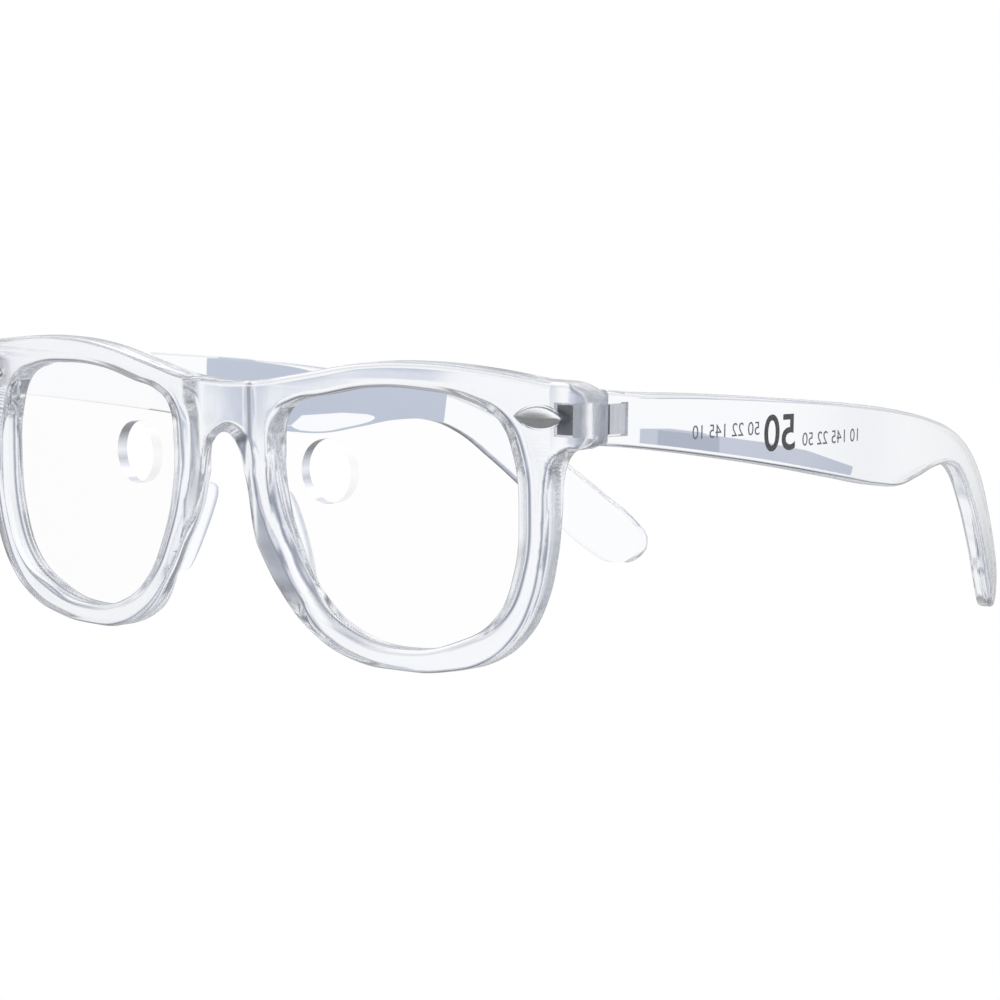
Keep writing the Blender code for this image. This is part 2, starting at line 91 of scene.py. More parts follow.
# Studs
STUD_X = 0.0642
STUD_Z = 0.0169
STUD_LENGTH = 0.0086
STUD_WIDTH = 0.0032
STUD_HEIGHT = 0.0009
STUD_PIN_RADIUS = 0.0006
STUD_PIN_LENGTH = 0.0016
STUD_POCKET_DEPTH = 0.0006
POCKET_GAP = 0.0003         # gap round any inset piece
POINT_GAPS = 2.6            # gaps by which the recess is longer, as its ends are pointed
PIN_LAP = 0.0002            # the pin runs into the head

# Hinges, about the joints' own axis
JOINT = next(j for j in frame["joints"] if j["name"] == "left_temple_fold")
HINGE_X, HINGE_Y, HINGE_Z = JOINT["pos_m"]
BUTT_Y = HINGE_Y - 0.0019   # plane where the end piece meets the temple
KNUCKLE_RADIUS = 0.0015
PIN_HOLE_RADIUS = 0.00075
PIN_RADIUS = 0.00066
KNUCKLE_HEIGHT = 0.0014
KNUCKLE_GAP = 0.0001
TANG_WIDTH = 0.0028
TANG_LENGTH = 0.0031
TANG_BACK = -KNUCKLE_RADIUS - 0.0003
TANG_OPEN = 0.002           # the pocket's cutter reaches out of the end piece to here
ARM_INSET = 0.0002          # the arms are narrower than the tang, on each side
LEAF_THICK = 0.0010
LEAF_LENGTH = 0.0036
LEAF_FRONT = 0.0003
LEAF_INNER = KNUCKLE_RADIUS + 0.00015
WEB_FRONT = 0.0001          # the web joins the temple's knuckle to its leaf
WEB_BACK = 0.0013
WEB_LAP = 0.0004
SCREW_HEAD_RADIUS = 0.0013
SCREW_HEAD_HEIGHT = 0.0007
SCREW_SLOT = 0.0003
SCREW_SLOT_DEPTH = 0.00035
SCREW_END = 0.0004          # the shank stands out below the knuckles
SCREW_HEAD_GAP = 0.0001
SHANK_LAP = 0.0003          # the shank runs into the head
METAL_BEVEL = 0.00008

# Temples
TEMPLE_THICK = 0.0035
TEMPLE_OUTER_X = 0.0727     # outer face at the hinge
TEMPLE_END = 0.146          # tip, behind the bridge's face
TEMPLE_ROUND = 0.0009
BUTT_GAP = 0.0003
BOW_START = 0.050           # behind the bridge's face, the temple starts to curve inwards
BOW = 3.2                   # inward curve in metres per square metre
FOOT_SINK = 0.00018         # how much of the temple tips is ground flat

# Nose pads
PAD_LENGTH = 0.0160
PAD_DEPTH = 0.0026
PAD_THICK = 0.0028
PAD_PLACE = (0.0121, 0.0068, -0.0052)   # in the front's plane: x, depth, z
PAD_TILT = math.radians(27)
PAD_FLARE = math.radians(18)

# Size print on the left temple: text, distance behind the bridge's face, height of the
# numbers, and whether they are bold
PRINT_WORDS = (("50 22 145 10", 0.0392, 0.0021, False), ("50", 0.0518, 0.0056, True),
               ("10 145 22 50", 0.0650, 0.0021, False))
PRINT_SIZE = 1.4            # font size for numbers of height 1
PRINT_BOLD = 0.00009        # how much a bold stroke grows
PRINT_HALF_THICK = 0.000008
PRINT_LIFT = 0.00003        # off the temple's face
PRINT_START = (0.0365, 0.0372)  # a point of the print's line: along, and above the table
PRINT_FALL = 0.085          # slope of the line towards the tip

# Camera
CAMERA_LENS = 133.61        # focal length in millimetres
CAMERA_SENSOR = 36.0
CAMERA_PLACE = (0.4342, -0.4585, 0.0782)
CAMERA_TURN = (84.655, -0.872, 44.111)  # in degrees

# Studio
PANELS = 8                  # bright panels round the room
PANELS_TURN = math.radians(44.0)
FLOOR_DROP = 0.0002
FLOOR_REACH = 3.0
FLOOR_UNSEEN_BY = ("transmission", "glossy", "diffuse", "shadow")   # kinds of ray
CARD_UNSEEN_BY = ("camera", "glossy", "diffuse", "shadow")

PLASTIC_IOR = 1.49

# Fineness of the meshes
CURVE_STEPS = 12
ROUND_STEPS = 5
BEND_STEP = 0.0004
BOW_STEP = 0.0024
BARREL_SIDES = 48
PORT_SIDES = 96
ALMOND_STEPS = 24
DOME_RINGS = 10
PAD_LEVELS = 4
SHARP_ANGLE = 35            # in degrees: edges that turn more than this stay sharp
DOME_SHARP_ANGLE = 50
WELD = 1e-6
BOUNCES = 40                # enough for light to leave the clear mouldings

# Making
FAR = 0.1                   # beyond the whole object on any side
OPEN = 0.004                # a pocket's cutter passes an open side by this much
FOOT_CUT = 0.01             # depth below the table of the cutter that grinds the feet
PAST = 0.001                # a cutter or a joined block runs past a face by this much
FACING = 0.7                # cosine: a face turned roughly one way
SQUARE_ON = 0.95            # cosine: a face turned almost exactly one way

OPENING = [(22.2, 18.0), (31, 19.6), (41, 19.85), (50, 18.7), (56, 16.2), (58.9, 11.0),
           (59.8, 2.5), (58.8, -6.2), (55.0, -13.6), (47.5, -17.8), (37.5, -19.8),
           (27.0, -18.3), (19.8, -13.8), (15.0, -6.8), (12.1, 1.0), (11.4, 8.5),
           (12.6, 14.5), (16.4, 16.9)]
OUTLINE = [(0, 19.2), (9, 19.8), (18, 21.3), (30, 23.3), (42, 23.95), (54, 23.4), (64, 22.3),
           (71.0, 21.5), (72.8, 20.2), (73, 17), (72.8, 13.8), (71.4, 12.6), (68.6, 12.2),
           (66.4, 10.6), (65.4, 7.4), (65.1, 2.5), (64.4, -4), (62.6, -10.5), (59.2, -16),
           (53.6, -20.2), (45.5, -22.5), (36.5, -23.2), (27, -22.3), (19.5, -19.1),
           (13.8, -14.3), (9.2, -8.1), (6.2, -2.2), (4.4, 4.0), (2.7, 8.9), (0, 10.8)]
TEMPLE_TOP = [(3.0, 45.0), (10, 44.5), (18, 43.8), (30, 43.2), (50, 41.8), (70, 40.1), (85, 38.3),
              (97, 36.3), (108, 33.7), (117, 30.2), (125, 25.4), (132, 19.6), (139, 13.4), (144.4, 8.2)]
TEMPLE_TIP = [(146.3, 4.8), (145.2, 1.4), (141.8, 0.0), (137.8, 2.1)]
TEMPLE_UNDERSIDE = [(128, 11.9), (119, 20.6), (112.5, 25.8), (107, 28.0), (100, 28.3),
                    (92, 27.1), (85, 26.2), (77, 26.8), (65, 28.7), (50, 31.2), (35, 33.4),
                    (20, 35.3), (10, 36.3), (3.0, 36.8)]

SIDES = {"left": 1, "right": -1}
scene = bpy.context.scene


# ---------------------------------------------------------------- shader helpers

def new_material(name):
    """A material with its node tree and its main shader."""
    mat = bpy.data.materials.new(name)
    mat.use_nodes = True
    return mat, mat.node_tree, mat.node_tree.nodes["Principled BSDF"]


def node(tree, kind, values=(), **settings):
    """A new node with its settings and plain input values; values may also be links."""
    made = tree.nodes.new(kind)
    for key, value in settings.items():
        setattr(made, key, value)
    for key, value in dict(values).items():
        if isinstance(value, bpy.types.NodeSocket):
            tree.links.new(value, made.inputs[key])
        else:
            made.inputs[key].default_value = value
    return made


def math_node(tree, operation, *values):
    """The result of one sum on numbers or links."""
    made = node(tree, "ShaderNodeMath", dict(enumerate(values)), operation=operation)
    return made.outputs[0]


def ramp(tree, value, *stops):
    """A colour ramp over value; each stop is (position, grey or colour)."""
    made = node(tree, "ShaderNodeValToRGB", {"Fac": value})
    elements = made.color_ramp.elements
    while len(elements) < len(stops):
        elements.new(0.5)
    for element, (position, colour) in zip(elements, stops):
        element.position = position
        colour = (colour,) * 3 if isinstance(colour, float) else colour
        element.color = (*colour, 1.0)
    return made.outputs["Color"]


def object_noise(tree, scale, detail=2.0, stretch=(1.0, 1.0, 1.0)):
    """Noise that is fixed to the object."""
    place = node(tree, "ShaderNodeTexCoord").outputs["Object"]
    stretched = node(tree, "ShaderNodeMapping", {"Vector": place, "Scale": stretch})
    return node(tree, "ShaderNodeTexNoise", {"Vector": stretched.outputs[0], "Scale": scale,
                                             "Detail": detail}).outputs["Fac"]


# ---------------------------------------------------------------- materials

def moulded_plastic(name, colour, roughness, ior, waves, density):
    """Clear moulded plastic: faint flow waves, handling marks and a faint body tint."""
    mat, tree, shader = new_material(name)
    shader.inputs["Base Color"].default_value = (*colour, 1.0)
    shader.inputs["IOR"].default_value = ior
    shader.inputs["Transmission Weight"].default_value = 1.0
    marks = object_noise(tree, 900.0, 3.0, (1.0, 1.0, 0.35))
    gloss = ramp(tree, marks, (0.35, roughness), (0.75, roughness * 1.5))
    tree.links.new(gloss, shader.inputs["Roughness"])
    flow = object_noise(tree, 70.0, 1.0, (1.0, 1.0, 1.6))
    bump = node(tree, "ShaderNodeBump", {"Height": flow, "Strength": waves, "Distance": 0.0004})
    tree.links.new(bump.outputs[0], shader.inputs["Normal"])
    body = node(tree, "ShaderNodeVolumeAbsorption", {"Color": (0.55, 0.62, 0.72, 1.0),
                                                     "Density": density})
    tree.links.new(body.outputs[0], tree.nodes["Material Output"].inputs["Volume"])
    return mat


def lens_sheet():
    """Both polished faces of a thin flat lens: what is behind shows unbent under a gloss."""
    mat, tree, shader = new_material("lens_plastic")
    tree.nodes.remove(shader)
    clear = node(tree, "ShaderNodeBsdfTransparent", {"Color": (1.0, 1.0, 1.0, 1.0)})
    gloss = node(tree, "ShaderNodeFresnel", {"IOR": 1.25})
    backs = node(tree, "ShaderNodeNewGeometry").outputs["Backfacing"]
    fronts = math_node(tree, "MULTIPLY", gloss.outputs[0], math_node(tree, "SUBTRACT", 1.0, backs))
    marks = object_noise(tree, 500.0, 3.0)
    mirror = node(tree, "ShaderNodeBsdfGlossy",
                  {"Roughness": ramp(tree, marks, (0.4, 0.01), (0.8, 0.04))})
    mix = node(tree, "ShaderNodeMixShader", {0: fronts, 1: clear.outputs[0],
                                             2: mirror.outputs[0]})
    tree.links.new(mix.outputs[0], tree.nodes["Material Output"].inputs["Surface"])
    return mat


def lens_wall():
    """The lens's cut edge and the port's wall, with painted light and shade: light and dark by turns as
    the wall turns up or down.
    """
    mat, tree, shader = new_material("lens_wall")
    normal = node(tree, "ShaderNodeTexCoord").outputs["Normal"]
    upward = node(tree, "ShaderNodeSeparateXYZ", {0: normal}).outputs["Z"]
    # painted light and shade: light and dark greys set by how far the wall faces up
    painted_light_and_shade = ramp(tree, math_node(tree, "MULTIPLY_ADD", upward, 0.5, 0.5),
                (0.0, (0.90, 0.91, 0.93)), (0.06, (0.42, 0.43, 0.46)),
                (0.18, (0.34, 0.35, 0.39)), (0.36, (0.80, 0.82, 0.87)),
                (0.50, (0.96, 0.97, 1.00)), (0.64, (0.52, 0.54, 0.60)),
                (0.78, (0.72, 0.74, 0.79)), (0.88, (0.97, 0.98, 1.00)),
                (0.95, (0.42, 0.43, 0.47)))
    tree.links.new(painted_light_and_shade, shader.inputs["Base Color"])
    shader.inputs["IOR"].default_value = 1.2
    shader.inputs["Transmission Weight"].default_value = 0.15
    marks = object_noise(tree, 700.0, 2.0, (1.0, 6.0, 1.0))
    tree.links.new(ramp(tree, marks, (0.3, 0.04), (0.8, 0.12)), shader.inputs["Roughness"])
    backs = node(tree, "ShaderNodeNewGeometry").outputs["Backfacing"]
    clear = node(tree, "ShaderNodeBsdfTransparent", {"Color": (1.0, 1.0, 1.0, 1.0)})
    mix = node(tree, "ShaderNodeMixShader", {0: math_node(tree, "MULTIPLY", backs, 0.85),
                                             1: shader.outputs[0], 2: clear.outputs[0]})
    tree.links.new(mix.outputs[0], tree.nodes["Material Output"].inputs["Surface"])
    return mat


def brushed_metal(name, colour, roughness, stretch, metallic=1.0):
    """Metal with fine lengthwise brush marks and slightly dulled patches."""
    mat, tree, shader = new_material(name)
    shader.inputs["Metallic"].default_value = metallic
    brush = object_noise(tree, 2600.0, 4.0, stretch)
    dull = object_noise(tree, 420.0, 2.0)
    low, high = [tuple(c * share for c in colour) for share in (0.82, 1.0)]
    tree.links.new(ramp(tree, brush, (0.3, low), (0.7, high)), shader.inputs["Base Color"])
    rough = math_node(tree, "MULTIPLY_ADD", dull, 0.18, roughness)
    tree.links.new(rough, shader.inputs["Roughness"])
    bump = node(tree, "ShaderNodeBump", {"Height": brush, "Strength": 0.25,
                                         "Distance": 0.00004})
    tree.links.new(bump.outputs[0], shader.inputs["Normal"])
    return mat


def print_ink(name, colour):
    """Pad-printed ink, slightly uneven."""
    mat, tree, shader = new_material(name)
    shader.inputs["Specular IOR Level"].default_value = 0.15
    uneven = object_noise(tree, 3000.0, 2.0)
    thin = tuple(c * 1.6 for c in colour)
    ink = ramp(tree, uneven, (0.3, colour), (0.75, thin))
    tree.links.new(ink, shader.inputs["Base Color"])
    tree.links.new(ramp(tree, uneven, (0.2, 0.45), (0.8, 0.6)), shader.inputs["Roughness"])
    return mat


# ---------------------------------------------------------------- mesh helpers

def evaluated_mesh(obj, name):
    """The object's mesh with its modifiers, in world space."""
    depsgraph = bpy.context.evaluated_depsgraph_get()
    mesh = bpy.data.meshes.new_from_object(obj.evaluated_get(depsgraph))
    mesh.transform(obj.matrix_world)
    mesh.name = name
    return mesh


def mesh_object(name, mesh, *mats):
    """A new object of the scene with the mesh and just these materials."""
    obj = bpy.data.objects.new(name, mesh)
    scene.collection.objects.link(obj)
    mesh.materials.clear()
    for mat in mats:
        mesh.materials.append(mat)
    return obj


def from_bmesh(name, bm, *mats):
    """An object of a closed bmesh, with its faces turned outwards."""
    bmesh.ops.recalc_face_normals(bm, faces=bm.faces)
    if bm.calc_volume(signed=True) < 0:
        bmesh.ops.reverse_faces(bm, faces=bm.faces)
    mesh = bpy.data.meshes.new(name)
    bm.to_mesh(mesh)
    bm.free()
    return mesh_object(name, mesh, *mats)


def bake_modifiers(obj):
    """Keep what the modifiers make as the object's own mesh."""
    bpy.context.view_layer.update()
    mats = list(obj.data.materials)
    mesh = evaluated_mesh(obj, obj.name)
    obj.modifiers.clear()
    mesh.transform(obj.matrix_world.inverted())
    obj.data = mesh
    # Clearing a mesh's materials also clears which face has which.
    which = [face.material_index for face in mesh.polygons]
    mesh.materials.clear()
    for mat in mats:
        mesh.materials.append(mat)
    mesh.polygons.foreach_set("material_index", which)
    return obj


def apply_boolean(obj, others, operation):
    """Join or cut with each of the others, which are used up."""
    for other in others:
        modifier = obj.modifiers.new(operation.title(), "BOOLEAN")
        modifier.operation = operation
        modifier.solver = "EXACT"
        modifier.object = other
    bake_modifiers(obj)
    for other in others:
        bpy.data.objects.remove(other, do_unlink=True)
    return obj


def cut(obj, *others):
    """Takes the others away from the piece."""
    return apply_boolean(obj, others, "DIFFERENCE")


def join(obj, *others):
    """Makes the others one solid with the piece."""
    return apply_boolean(obj, others, "UNION")


def soften_edges(obj, width, segments=2):
    """Rounds every sharp edge of a machined piece."""
    bevel = obj.modifiers.new("Bevel", "BEVEL")
    bevel.width = width
    bevel.segments = segments
    bevel.limit_method = "ANGLE"
    bevel.angle_limit = math.radians(SHARP_ANGLE)
    return bake_modifiers(obj)


def polish(obj, angle=SHARP_ANGLE):
    """Smooth shading that leaves flat faces flat."""
    obj.data.shade_smooth()
    obj.data.set_sharp_from_angle(angle=math.radians(angle))
    weighted = obj.modifiers.new("Weighted Normal", "WEIGHTED_NORMAL")
    weighted.keep_sharp = True
    weighted.weight = 80
    return bake_modifiers(obj)


def box(name, low, high):
    """A block from its lowest to its highest corner."""
    bm = bmesh.new()
    bmesh.ops.create_cube(bm, size=1.0)
    low, high = Vector(low), Vector(high)
    size, middle = high - low, (high + low) / 2
    bm.transform(Matrix.Translation(middle) @ Matrix.Diagonal((*size, 1.0)))
    return from_bmesh(name, bm)


def cylinder(name, radius, low, high, sides=BARREL_SIDES):
    """An upright cylinder about the z axis."""
    bm = bmesh.new()
    bmesh.ops.create_cone(bm, cap_ends=True, segments=sides, radius1=radius, radius2=radius,
                          depth=high - low)
    bm.transform(Matrix.Translation((0, 0, (high + low) / 2)))
    return from_bmesh(name, bm)


def plate(name, loops, depth, edge_round=0.0, grow=0.0):
    """A flat outline with round edges: x and y are the outline's, z runs 0 to -depth."""
    curve = bpy.data.curves.new(name, "CURVE")
    curve.dimensions = "2D"
    curve.fill_mode = "BOTH"
    curve.resolution_u = CURVE_STEPS
    curve.extrude = depth / 2 - edge_round
    curve.bevel_depth = edge_round
    curve.bevel_resolution = ROUND_STEPS if edge_round else 0
    curve.offset = grow - edge_round
    for loop in loops:
        spline = curve.splines.new("BEZIER")
        spline.bezier_points.add(len(loop) - 1)
        for point, (x, y) in zip(spline.bezier_points, loop):
            point.co = (x * MM, y * MM, 0.0)
            point.handle_left_type = point.handle_right_type = "AUTO"
        spline.use_cyclic_u = True
    obj = bpy.data.objects.new(name, curve)
    scene.collection.objects.link(obj)
    bpy.context.view_layer.update()
    mesh = evaluated_mesh(obj, name)
    bpy.data.objects.remove(obj, do_unlink=True)
    bm = bmesh.new()
    bm.from_mesh(mesh)
    bmesh.ops.remove_doubles(bm, verts=bm.verts, dist=WELD)
    bm.transform(Matrix.Translation((0, 0, -depth / 2)))
    return bm


def slice_across(bm, axis, places):
    """Add edges where the piece is going to bend."""
    normal = Vector([1.0 if i == axis else 0.0 for i in range(3)])
    for place in places:
        bmesh.ops.bisect_plane(bm, geom=bm.verts[:] + bm.edges[:] + bm.faces[:], dist=WELD / 10,
                               plane_co=normal * place, plane_no=normal)


def spread(low, high, step):
    """Evenly spaced places from low to high, about a step apart."""
    count = max(1, round((high - low) / step))
    return [low + (high - low) * i / count for i in range(count + 1)]


def mirrored(points):
    """The same points on the other side of the middle."""
    return [(-x, z) for x, z in points]


def mirror_copy(obj, name):
    """The wearer's right-hand copy of a left-hand piece."""
    mesh = obj.data.copy()
    mesh.transform(obj.matrix_world)
    mesh.transform(Matrix.Scale(-1, 4, (1, 0, 0)))
    mesh.flip_normals()
    mesh.name = name
    copy = bpy.data.objects.new(name, mesh)
    scene.collection.objects.link(copy)
    return copy


# ---------------------------------------------------------------- the front's shape

def sweep(x):
    """How far the front face has gone back at x."""
    x = abs(x)
    if x < WRAP_BLEND:
        return math.tan(WRAP) * x * x / (2 * WRAP_BLEND)
    return math.tan(WRAP) * (x - WRAP_BLEND / 2)


def face_sink(x):
    """The bridge's sunk face, and the roll of the end pieces' outer corners."""
    x = abs(x)
    rise = min(max((x - BRIDGE_FLAT) / (BRIDGE_RISE - BRIDGE_FLAT), 0.0), 1.0)
    bridge = BRIDGE_SINK * (1 - rise * rise * (3 - 2 * rise))
    roll = min(max((x - CORNER_START) / (HALF_WIDTH - CORNER_START), 0.0), 1.0)
    return bridge + CORNER_SINK * (1 - math.sqrt(1 - roll * roll))


def rear_face(x, z):
    """Depth of the rear face: parallel to the front, but upright where the temple butts."""
    plain = sweep(x) + FRONT_DEPTH
    butt = (BUTT_Y - FRONT_Y + z * math.sin(LEAN)) / math.cos(LEAN)
    blend = min(max((abs(x) - BUTT_START) / BUTT_BLEND, 0.0), 1.0)
    return plain + (butt - plain) * blend


def nose_distance(x, z):
    """How far a point of the front lies from the edge of the nose gap."""
    edge = [Vector((px * MM, pz * MM)) for px, pz in OUTLINE[-NOSE_POINTS:]]
    point = Vector((abs(x), z))
    nearest = []
    for low, high in zip(edge, edge[1:]):
        run = high - low
        share = min(max((point - low).dot(run) / run.length_squared, 0.0), 1.0)
        nearest.append((low + run * share - point).length)
    return min(nearest)


def nose_splay(x, z, depth):
    """Shift in x and z of a point that opens the nose gap and its arch to the back."""
    band = min(max(1 - nose_distance(x, z) / NOSE_BAND, 0.0), 1.0)
    fade = min(max((z - NOSE_BOTTOM) / NOSE_FADE, 0.0), 1.0)
    over = max(z - ARCH_CENTRE, 0.0)
    slope = NOSE_SPLAY + ARCH_SPLAY * min(over / ARCH_RISE, 1.0)
    shift = slope * depth * band * fade
    away = Vector((2 * x, over)).normalized()
    return away.x * shift, away.y * shift * ARCH_SHARE


def lean_and_place():
    """Takes the front's plane from the origin to where the glasses stand."""
    return Matrix.Translation((0, FRONT_Y, LENS_HEIGHT)) @ Matrix.Rotation(LEAN, 4, "X")


def lay_on_front(bm, shaped=False):
    """Turn a plate upright, sweep it back along the front, and put it in place."""
    for vert in bm.verts:
        x, z, depth = vert.co.x, vert.co.y, -vert.co.z
        near = sweep(x)
        if shaped:
            far = rear_face(x, z)
            near += face_sink(x)
            depth *= (far - near) / FRONT_DEPTH
            splay = nose_splay(x, z, depth)
            x, z = x + splay[0], z + splay[1]
        vert.co = (x, near + depth, z)
    bm.transform(lean_and_place())


def on_front(x, depth, z):
    """World place of a point given in the front's plane."""
    return lean_and_place() @ Vector((x, sweep(x) + depth, z))


def front_turn(side=1):
    """Turns a piece modelled facing -Y so that it lies flat on one rim."""
    return Matrix.Rotation(LEAN, 4, "X") @ Matrix.Rotation(side * WRAP, 4, "Z")


# ---------------------------------------------------------------- clear mouldings

def front_moulding(plastic):
    """The one-piece front with its pockets."""
    outline = OUTLINE + mirrored(OUTLINE[-2:0:-1])
    bm = plate("front_moulding", [outline, OPENING, mirrored(OPENING)], FRONT_DEPTH, EDGE_ROUND)
    bends = spread(0.0, WRAP_BLEND, BEND_STEP) + spread(BUTT_START, BUTT_END, BEND_STEP)
    slice_across(bm, 0, sorted({-b for b in bends} | set(bends)))
    lay_on_front(bm, shaped=True)
    obj = from_bmesh("front_moulding", bm, plastic)
    pockets = []
    for pocket in (place_on_end_piece(stud_pocket()), tang_pocket()):
        pockets += [pocket, mirror_copy(pocket, "pocket")]
    cut(obj, foot_cutter(), *pockets)
    return polish(obj)


def lens_plate(name, side):
    """A plate that fills one opening of the front."""
    loop = OPENING if side > 0 else mirrored(OPENING)
    bm = plate(name, [loop], LENS_THICK, grow=-LENS_GAP)
    bm.transform(Matrix.Translation((0, 0, LENS_THICK / 2 - LENS_MIDDLE)))
    lay_on_front(bm)
    return bm


def lens(side_name, sheet, wall):
    """A flat lens with its round drop port; the cut walls get their own material, with painted light
    and shade.
    """
    side = SIDES[side_name]
    name = side_name + "_lens"
    obj = from_bmesh(name, lens_plate(name, side), sheet, wall)
    port = cylinder("port_cutter", PORT_RADIUS, -PORT_CUT, PORT_CUT, PORT_SIDES)
    turn = front_turn(side) @ Matrix.Rotation(math.pi / 2, 4, "X")
    port.data.transform(Matrix.Translation(on_front(side * PORT_X, LENS_MIDDLE, PORT_Z)) @ turn)
    cut(obj, port)
    facing = front_turn(side) @ Vector((0, 1, 0))
    for face in obj.data.polygons:
        face.material_index = 0 if abs(face.normal.dot(facing)) > FACING else 1
    return polish(obj)


def temple(plastic, sawn):
    """Side view extruded across, then curved inwards towards the tip, with a sawn butt end."""
    loop = TEMPLE_TOP + TEMPLE_TIP + TEMPLE_UNDERSIDE
    bm = plate("left_temple_arm", [loop], TEMPLE_THICK, TEMPLE_ROUND)
    slice_across(bm, 0, spread(BOW_START, TEMPLE_END, BOW_STEP))
    for vert in bm.verts:
        along, height, across = vert.co
        x = TEMPLE_OUTER_X + across - temple_bow(along)
        vert.co = (x, FRONT_Y + along, height - FOOT_SINK)
    obj = from_bmesh("left_temple_arm", bm, plastic, sawn)
    butt = box("butt_cutter", (0, -FAR, 0), (FAR, BUTT_Y + BUTT_GAP, FAR))
    cut(obj, butt, leaf_pocket(), foot_cutter())
    for face in obj.data.polygons:
        at_butt = face.normal.y < -SQUARE_ON and face.center.y < BUTT_Y + 2 * BUTT_GAP
        face.material_index = 1 if at_butt else 0
    return polish(obj)


def temple_bow(along):
    """How far the temple has curved inwards at a distance behind the bridge's face."""
    return BOW * max(along - BOW_START, 0.0) ** 2


def foot_cutter():
    """The space just below the table, which grinds the feet flat."""
    return box("foot_cutter", (-FAR, -FAR, -FOOT_CUT), (FAR, FAR, 0))


def nose_pad(plastic):
    """A rounded pad behind the nose side of the rim, flaring outwards to the back."""
    bm = bmesh.new()
    bmesh.ops.create_cube(bm, size=1.0)
    bm.transform(Matrix.Diagonal((PAD_THICK, PAD_DEPTH, PAD_LENGTH, 1.0)))
    bmesh.ops.subdivide_edges(bm, edges=bm.edges, cuts=1, use_grid_fill=True)
    for vert in bm.verts:
        along = vert.co.z / PAD_LENGTH
        # deepest a quarter of its length above its middle, and thin at the foot
        taper = 0.85 + 0.5 * along - along * along
        vert.co.y = (vert.co.y + PAD_DEPTH / 2) * taper - PAD_DEPTH / 2
    turn = Matrix.Rotation(-PAD_TILT, 4, "Y") @ Matrix.Rotation(-PAD_FLARE, 4, "Z")
    bm.transform(Matrix.Translation(PAD_PLACE) @ turn)
    bm.transform(lean_and_place())
    obj = from_bmesh("left_nose_pad", bm, plastic)
    subdivision = obj.modifiers.new("Subdivision", "SUBSURF")
    subdivision.levels = subdivision.render_levels = PAD_LEVELS
    bake_modifiers(obj)
    obj.data.shade_smooth()
    return obj


# ---------------------------------------------------------------- studs and hinges

def almond(length, width):
    """A pointed oval, the meeting of two arcs."""
    radius = (length * length + width * width) / (4 * width)
    reach = math.asin(length / 2 / radius)
    points = []
    for sign in (1, -1):
        for i in range(ALMOND_STEPS):
            angle = sign * (-reach + 2 * reach * i / ALMOND_STEPS)
            points.append((radius * math.sin(angle),
                           sign * (radius * math.cos(angle) - radius + width / 2)))
    return points


def stud_pocket():
    """The almond recess under the stud's head and the drilling for its pin."""
    bm = bmesh.new()
    ring = almond(STUD_LENGTH + POINT_GAPS * POCKET_GAP, STUD_WIDTH + 2 * POCKET_GAP)
    face = bm.faces.new([bm.verts.new((x, -OPEN, z)) for x, z in ring])
    walls = bmesh.ops.extrude_face_region(bm, geom=[face])
    moved = [v for v in walls["geom"] if isinstance(v, bmesh.types.BMVert)]
    bmesh.ops.translate(bm, verts=moved, vec=(0, OPEN + STUD_POCKET_DEPTH, 0))
    pocket = from_bmesh("stud_pocket", bm)
    drill = cylinder("drill", STUD_PIN_RADIUS + POCKET_GAP,
                     -STUD_PIN_LENGTH - STUD_POCKET_DEPTH - POCKET_GAP, 0.0)
    drill.data.transform(Matrix.Rotation(math.pi / 2, 4, "X"))
    return join(pocket, drill)


def place_on_end_piece(obj):
    """Puts a piece of the stud, drawn about its own middle, on the left end piece."""
    obj.data.transform(Matrix.Translation(on_front(STUD_X, 0.0, STUD_Z)) @ front_turn())
    return obj


def stud(metal):
    """Domed almond head with a flat ground rim and a pin behind it."""
    seat = STUD_POCKET_DEPTH - POCKET_GAP
    bm = bmesh.new()
    loops = [[bm.verts.new((x, seat, z)) for x, z in almond(STUD_LENGTH, STUD_WIDTH)]]
    for step in range(DOME_RINGS):
        turn = step / DOME_RINGS * math.pi / 2
        shrink, height = math.cos(turn), math.sin(turn) * STUD_HEIGHT
        ring = almond(STUD_LENGTH * shrink, STUD_WIDTH * shrink)
        loops.append([bm.verts.new((x, -height, z)) for x, z in ring])
    count = len(loops[0])
    for low, high in zip(loops, loops[1:]):
        for i in range(count):
            bm.faces.new((low[i], low[(i + 1) % count], high[(i + 1) % count], high[i]))
    bm.faces.new(loops[0])
    top = bm.verts.new((0, -STUD_HEIGHT, 0))
    for i in range(count):
        bm.faces.new((loops[-1][i], loops[-1][(i + 1) % count], top))
    head = from_bmesh("left_stud", bm, metal)
    pin = cylinder("pin", STUD_PIN_RADIUS, -STUD_PIN_LENGTH - seat, PIN_LAP)
    pin.data.transform(Matrix.Rotation(math.pi / 2, 4, "X"))
    join(head, pin)
    place_on_end_piece(head)
    return polish(head, DOME_SHARP_ANGLE)


def knuckle_span(index):
    """Lower and upper end of one of the three stacked knuckles."""
    total = 3 * KNUCKLE_HEIGHT + 2 * KNUCKLE_GAP
    low = HINGE_Z - total / 2 + index * (KNUCKLE_HEIGHT + KNUCKLE_GAP)
    return low, low + KNUCKLE_HEIGHT


def stack_span(margin=0.0):
    """Lower and upper end of the whole stack of knuckles, with a margin past both."""
    return knuckle_span(0)[0] - margin, knuckle_span(2)[1] + margin


def place_on_hinge(obj):
    """Puts a piece drawn about the pin's axis on the left hinge."""
    obj.data.transform(Matrix.Translation((HINGE_X, HINGE_Y, 0)))
    return obj


def paint_shade_on_front_and_back(leaf, metal, painted_shade_steel):
    """Faces turned to the front or the back get the darker steel: painted shade."""
    leaf.data.materials.clear()
    for mat in (metal, painted_shade_steel):
        leaf.data.materials.append(mat)
    for face in leaf.data.polygons:
        face.material_index = 1 if abs(face.normal.y) > FACING else 0


